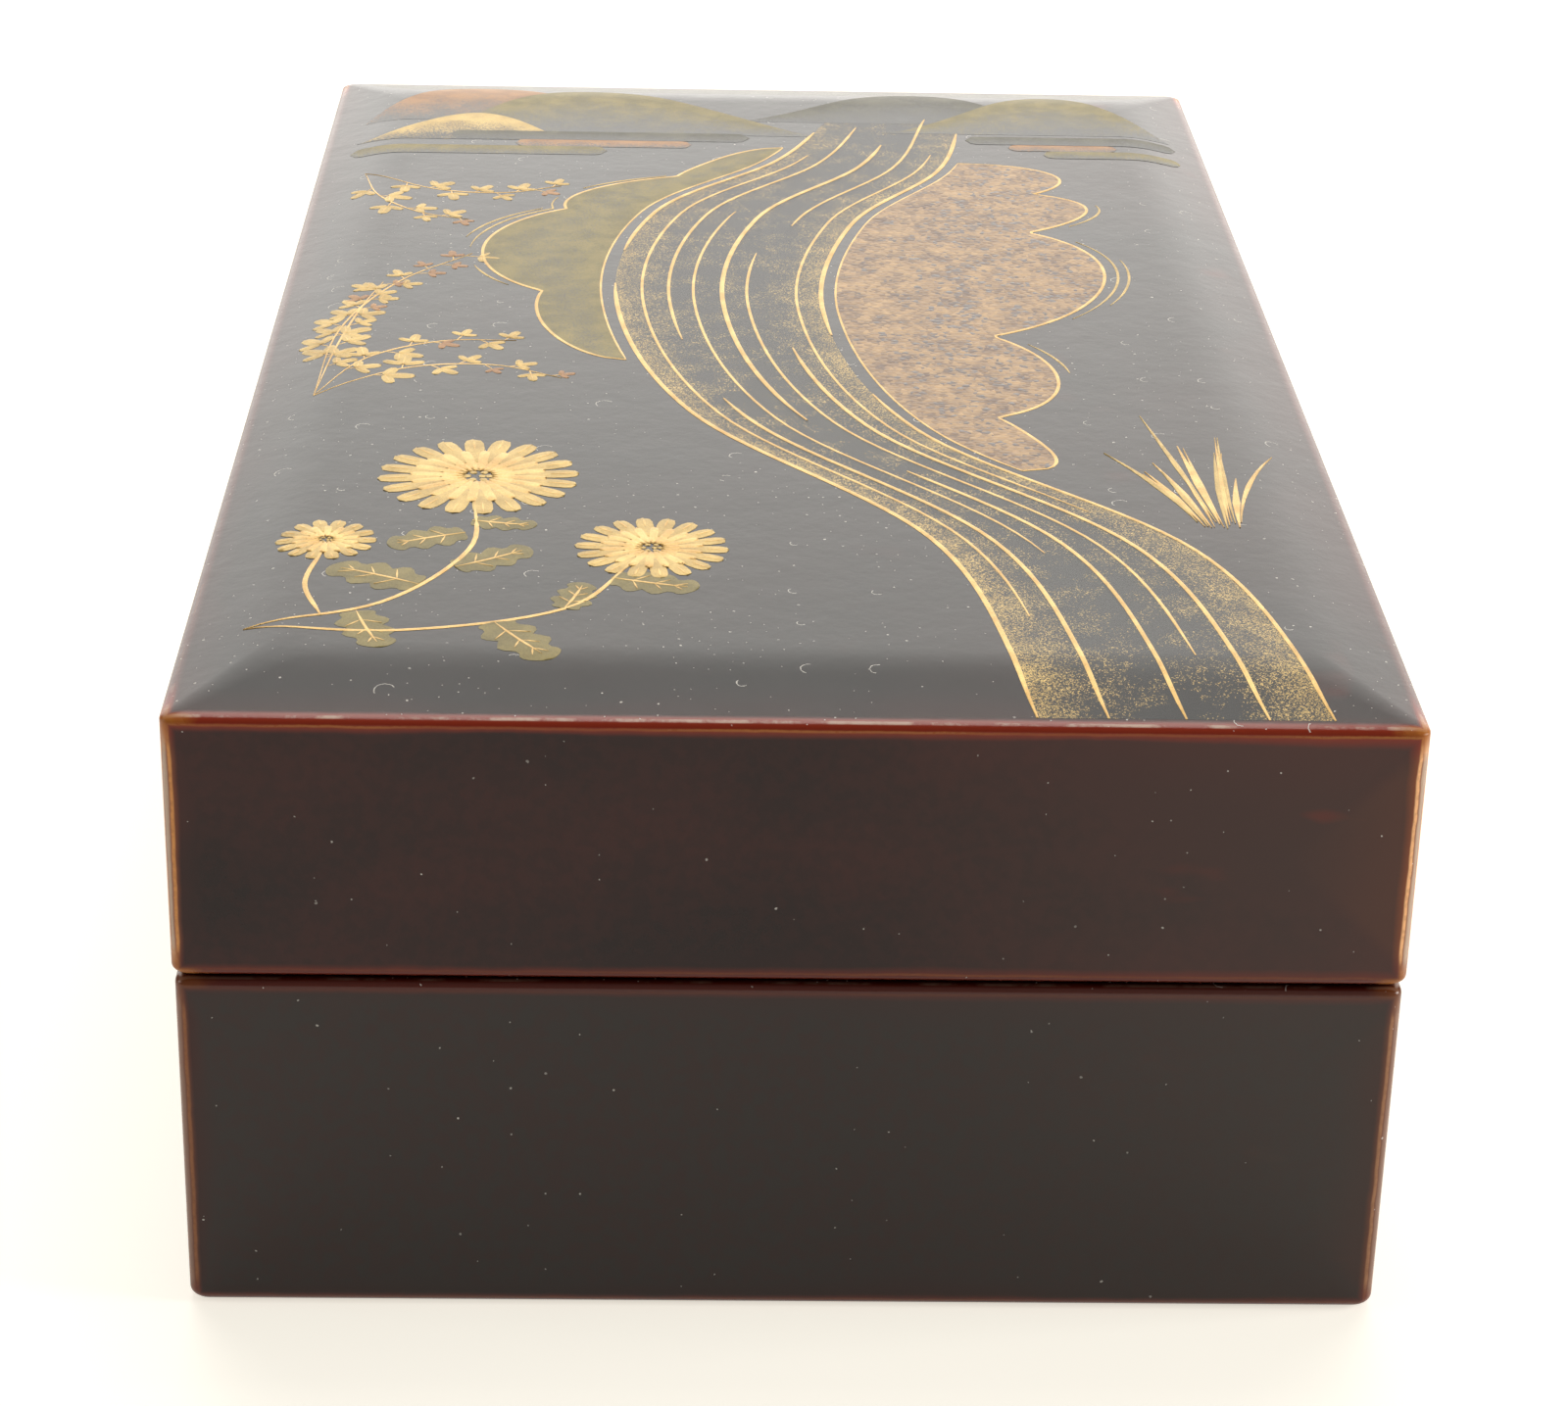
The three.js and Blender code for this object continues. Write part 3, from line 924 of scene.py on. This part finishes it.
def shore(gold, metal, water_side, hand, start, end, breadth, lobes, thick):
    """A sandbank beside the stream, with a lobed outer coast in a bright line and flowing lines
    after its lobes. A lobe is its middle and half length as shares of the bank's length, and its
    reach as a share of the breadth. thick gives how much powder lies at the water, in the middle
    and at the coast."""
    waterline = line_part(water_side, start, end)

    def coast_reach(v):
        swells = [size * math.sqrt(max(0, 1 - ((v - middle) / half) ** 2)) for middle, half, size in lobes]
        return breadth * max(swells)

    def place(u, v, out=0.0):
        return point_at(waterline, v) + at(hand * (1.6 + u * coast_reach(v) + out), 0)

    def laid(u, v):
        to_water, to_coast = (1 - u) ** 2, u ** 2
        return thick[0] * to_water + thick[1] * (1 - to_water) * (1 - to_coast) + thick[2] * to_coast

    gold[metal].sheet(12, 110, place, BANK_HEIGHT, laid=laid)
    for u in (0, 1):
        edge = [place(u, step / 160) for step in range(161)]
        gold["bright_gold"].stroke(edge, (0.4 if u else 0.3) * MM, LINE_HEIGHT * 0.8, 0.02, 0.5)
    for out, first, last in ((1.5, 0.38, 0.62), (2.7, 0.42, 0.56), (1.5, 0.68, 0.78), (1.5, 0.24, 0.31)):
        ripple = [place(1, first + (last - first) * step / 30, out) for step in range(31)]
        gold["yellow_gold"].stroke(ripple, 0.28 * MM, LINE_HEIGHT * 0.7, 0.3, 0.3)


def bloom(gold, centre, radius, petal_count, turn):
    """A many-petalled flower, with a short inner ring and a heart of small dots."""
    middle = at(*centre)

    def out(angle, share):
        return middle + ways(angle)[0] * radius * MM * share

    def widening(reach):
        return 0.5 + 0.5 * reach

    rings = [("yellow_gold", 0.36, 1.0, 0.0, 0.75), ("bright_gold", 0.14, 0.68, 0.5, 1.0)]
    for metal, start, end, offset, lift in rings:
        for index in range(petal_count):
            angle = turn + (index + offset) * 2 * math.pi / petal_count
            width = 2 * math.pi * radius * MM * end / petal_count * 0.8
            length = radius * MM * (end - start)
            gold[metal].leaf(out(angle, start), angle, length, width, BLOOM_HEIGHT * lift, swell=widening)
            if metal == "yellow_gold":
                ridge = [out(angle, share) for share in (0.72, 0.8, 0.88, 0.95)]
                gold["bright_gold"].stroke(ridge, 0.22 * MM, LINE_HEIGHT, 0.4, 0.3, BLOOM_HEIGHT * lift * 0.9)
    for ring, count in ((0.0, 1), (0.07, 6), (0.14, 12)):
        for index in range(count):
            angle = index * 2 * math.pi / count
            size = radius * 0.075 * MM
            gold["yellow_gold"].leaf(out(angle, ring), angle, size, size, BLOOM_HEIGHT * 0.6, rows=4)


def lobed(reach):
    return 0.62 + 0.38 * abs(math.cos(3.4 * math.pi * reach)) - 0.25 * reach


def bloom_leaf(gold, root, degrees, length, width):
    """A lobed leaf in dull gold, with a bright midrib and side veins."""
    angle = math.radians(degrees)
    heading, side = ways(angle)
    foot = at(*root)
    gold["olive_gold"].leaf(
        foot, angle, length * MM, width * MM, LEAF_HEIGHT, rows=22, swell=lobed, bend=LEAF_BEND)

    def on_leaf(reach, across):
        bend = LEAF_BEND * length * reach * reach
        return foot + (heading * reach * length + side * (bend + across * width)) * MM

    midrib = [on_leaf(step / 8, 0) for step in range(8)]
    on_top = LEAF_HEIGHT * 0.85
    gold["bright_gold"].stroke(midrib, 0.26 * MM, LINE_HEIGHT, 0.3, 0.2, on_top)
    for reach in (0.25, 0.5, 0.72):
        for hand in (-1, 1):
            spread = hand * 0.34 * (1.1 - reach)
            vein = [on_leaf(reach + 0.13 * share, spread * share) for share in (0, 0.5, 1)]
            gold["bright_gold"].stroke(vein, 0.17 * MM, LINE_HEIGHT, 0.5, 0.2, on_top)


def flowers(gold):
    """Two open flowers and a small one, with their stems and leaves, in the near left quarter."""
    stems = [
        [(-47.5, -79), (-36, -74), (-29, -62), (-29, -50)],
        [(-47.5, -79), (-34, -80), (-20, -75), (-14, -64)],
        [(-41, -77), (-43, -70), (-42, -62)],
    ]
    for stem in stems:
        line = smooth_line([at(*pair) for pair in stem], 8)
        gold["bright_gold"].stroke(line, 0.45 * MM, LINE_HEIGHT, 0.2, 0.3)
    leaves = [
        ((-33, -70), 150, 9, 6.5), ((-30, -66), 30, 8, 5.5), ((-26, -78), -60, 9, 6),
        ((-20, -75), 70, 6, 4.5), ((-38, -76), -75, 8, 5.5), ((-29.5, -58), 200, 7.5, 5.5),
        ((-16, -68), -20, 8, 5.5), ((-29, -55), -15, 6, 4),
    ]
    for root, degrees, length, width in leaves:
        bloom_leaf(gold, root, degrees, length, width)
    bloom(gold, (-29, -44), 9.5, 20, 0.1)
    bloom(gold, (-12.5, -61), 7, 18, 0.3)
    bloom(gold, (-42, -60), 4.6, 14, 0)


def clover(gold, root, tips, seed):
    """Arching stems with leaflets in threes, and small pale blossoms that hang near their ends."""
    chance = random.Random(seed)
    for tip, lift in tips:
        start, end = at(*root), at(*tip)
        side = Vector((-(end - start).y, (end - start).x)) * lift
        line = smooth_line([start, start.lerp(end, 0.4) + side, start.lerp(end, 0.75) + side * 0.9, end], 8)
        gold["bright_gold"].stroke(line, 0.28 * MM, LINE_HEIGHT, 0.5, 0.25)
        length = (end - start).length
        count = max(4, round(length / (3.1 * MM)))
        for index in range(count):
            share = 0.16 + 0.84 * (index + 0.5) / count
            hand = 1 if index % 2 else -1
            near = point_at(line, share)
            angle = heading_at(line, round(share * (len(line) - 1))) + hand * chance.uniform(0.75, 1.15)
            far = near + ways(angle)[0] * chance.uniform(1.0, 1.7) * MM
            gold["bright_gold"].stroke([near, near.lerp(far, 0.5), far], 0.16 * MM, LINE_HEIGHT, 0.5, 0.5)
            blossom = share > 0.62 and chance.random() < 0.5
            size = chance.uniform(2.1, 2.9) * (0.6 if blossom else 1 - 0.35 * share) * MM
            metal = "peach_gold" if blossom else "yellow_gold"
            for turn in (-1.2, 0, 1.2):
                reach = size * (1.15 if turn == 0 else 0.9)
                gold[metal].leaf(far, angle + turn, reach, reach * 0.5, LEAF_HEIGHT, rows=5)
                if not blossom:
                    way = ways(angle + turn)[0]
                    rib = [far + way * reach * part for part in (0, 0.4, 0.8)]
                    gold["bright_gold"].stroke(rib, 0.13 * MM, LINE_HEIGHT, 0.5, 0.3, LEAF_HEIGHT * 0.9)


def grasses(gold, root, blades, seed):
    """A tuft of long blades that rise side by side and bow outwards."""
    chance = random.Random(seed)
    for index in range(blades):
        spread = 2 * (index + 0.5) / blades - 1
        angle = math.radians(94 - 9 * spread + chance.uniform(-3, 3))
        length = chance.uniform(17, 31) * (1 - 0.35 * abs(spread)) * MM
        bow = -spread * chance.uniform(0.05, 0.2)
        foot = at(root[0] + 2.2 * spread, root[1] + chance.uniform(-0.8, 0.8))
        heading, side = ways(angle)
        shares = [step / 12 for step in range(13)]
        line = [foot + (heading * share + side * bow * share ** 2) * length for share in shares]
        metal = "bright_gold" if index % 3 else "yellow_gold"
        gold[metal].stroke(line, chance.uniform(0.5, 0.95) * MM, LINE_HEIGHT, 0.65, 0.12)


def main_pieces():
    lid_finish = outer_lacquer(
        "lid outer lacquer", lid_half, lid_rim, lid_arris, LID_BLACK,
        warmth=0.85, spread=1.0, rubbing=1.0, top_line=1.0, rim_line=0.25)
    body_finish = outer_lacquer(
        "body outer lacquer", body_half, body_low.z, body_high.z, BODY_BLACK,
        warmth=0.2, spread=0.6, rubbing=0.24, top_line=0.3, rim_line=1.0)
    inner_finish = inner_lacquer()
    pieces = [
        ("lid_lacquer", lid_shell, "lid", "outer_lacquer", lid_finish, "lid_outer_lacquer"),
        ("body_lacquer", body_shell, "box_body", "outer_lacquer", body_finish, "body_outer_lacquer"),
        ("lid_lining", lid_lining, "lid", "inner_lacquer", inner_finish, "lid_inner_lacquer"),
        ("body_lining", body_lining, "box_body", "inner_lacquer", inner_finish, "body_inner_lacquer"),
    ]
    for name, make, body, slot, finish, stands_for in pieces:
        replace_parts(finished(name, make(), body, slot, finish), stands_for)


def gold_design():
    gold = {metal: GoldWork() for metal in METALS}
    left, right = waterlines()
    hills(gold)
    mist(gold)
    right_lobes = [(0.1, 0.1, 0.3), (0.25, 0.13, 0.66), (0.5, 0.2, 1.0), (0.73, 0.13, 0.8), (0.88, 0.12, 0.5)]
    left_lobes = [(0.15, 0.15, 0.5), (0.4, 0.2, 1.0), (0.64, 0.15, 0.75), (0.85, 0.15, 0.42)]
    shore(gold, "flake_gold", right, 1, 0.27, 0.86, 29, right_lobes, (0.95, 0.6, 0.85))
    shore(gold, "olive_gold", left, -1, 0.4, 0.88, 14, left_lobes, (0.8, 0.3, 0.75))
    stream(gold)
    flowers(gold)
    clover(gold, (-46.5, -22), [((-27, -6), 0.2), ((-33, 22), 0.1), ((-22, -17), 0.22), ((-42, 12), 0.02)], 4)
    clover(gold, (-47, 52), [((-24, 47), -0.2), ((-34, 34), -0.16)], 9)
    grasses(gold, (40, -54), 15, 5)
    for metal, powder in METALS.items():
        finish = powder_metal(metal.replace("_", " "), **powder)
        finished("design_in_" + metal, gold[metal].drape(), "lid", "gold_powder", finish, crease=60)


def board_finishes():
    across, along = cypress("cypress across", 0), cypress("cypress along", 1)
    for name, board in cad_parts.items():
        if name.endswith("_board"):
            runs_across = "front" in name or "rear" in name
            for material_slot in board.material_slots:
                material_slot.material = across if runs_across else along


# Studio

FLOOR_HALF = 3.0
FLOOR_WHITE = (0.93, 0.915, 0.875, 1)
SEEN_SHARE = 0.62
SEEN_GLOW = 0.69
LAMP_TINT = (1, 0.975, 0.93)
WORLD_LEVEL = 0.2


def paper_floor():
    """Pale paper. To the camera and in reflections it glows a little, so that it reads as white."""
    mesh = bmesh.new()
    bmesh.ops.create_grid(mesh, x_segments=1, y_segments=1, size=FLOOR_HALF)
    data = bpy.data.meshes.new("floor")
    mesh.to_mesh(data)
    mesh.free()
    floor = bpy.data.objects.new("floor", data)
    bpy.context.scene.collection.objects.link(floor)
    material, tree, shader, _ = new_material("pale paper")
    rays = node(tree, "LightPath")
    seen = most(tree, rays["Is Camera Ray"], rays["Is Glossy Ray"])
    seen = most(tree, seen, rays["Is Transmission Ray"])
    dimmed = tuple(channel * SEEN_SHARE for channel in FLOOR_WHITE[:3]) + (1,)
    fill(tree, shader, {
        "Base Color": mixed(tree, seen, FLOOR_WHITE, dimmed), "Roughness": 0.9,
        "Emission Color": (1, 0.95, 0.84, 1), "Emission Strength": times(tree, seen, SEEN_GLOW),
        "Specular IOR Level": 0.1,
    })
    data.materials.append(material)


def softbox(name, place, width, height, radiance):
    lamp = bpy.data.lights.new(name, "AREA")
    lamp.shape = "RECTANGLE"
    lamp.size, lamp.size_y = width, height
    lamp.color = LAMP_TINT
    lamp.energy = radiance * math.pi * width * height
    holder = bpy.data.objects.new(name, lamp)
    facing = (Vector((0, 0, 30)) * MM - Vector(place)).to_track_quat("-Z", "Y")
    holder.matrix_world = Matrix.Translation(place) @ facing.to_matrix().to_4x4()
    holder.visible_camera = False
    bpy.context.scene.collection.objects.link(holder)


def studio():
    paper_floor()
    world = bpy.data.worlds.new("studio")
    bpy.context.scene.world = world
    world.use_nodes = True
    background = world.node_tree.nodes["Background"].inputs
    background["Color"].default_value = (*LAMP_TINT, 1)
    background["Strength"].default_value = WORLD_LEVEL
    softbox("overhead softbox", (0, 0.42, 1.1), 0.6, 0.6, 5.8)
    softbox("left softbox", (-1.2, -0.15, 0.45), 0.5, 0.5, 4.0)
    softbox("right softbox", (1.2, -0.15, 0.45), 0.5, 0.5, 15.0)
    softbox("rear softbox", (0.05, 1.05, 0.55), 2.2, 1.15, 2.25)


main_pieces()
gold_design()
board_finishes()
studio()
bpy.context.scene.view_settings.view_transform = "Standard"
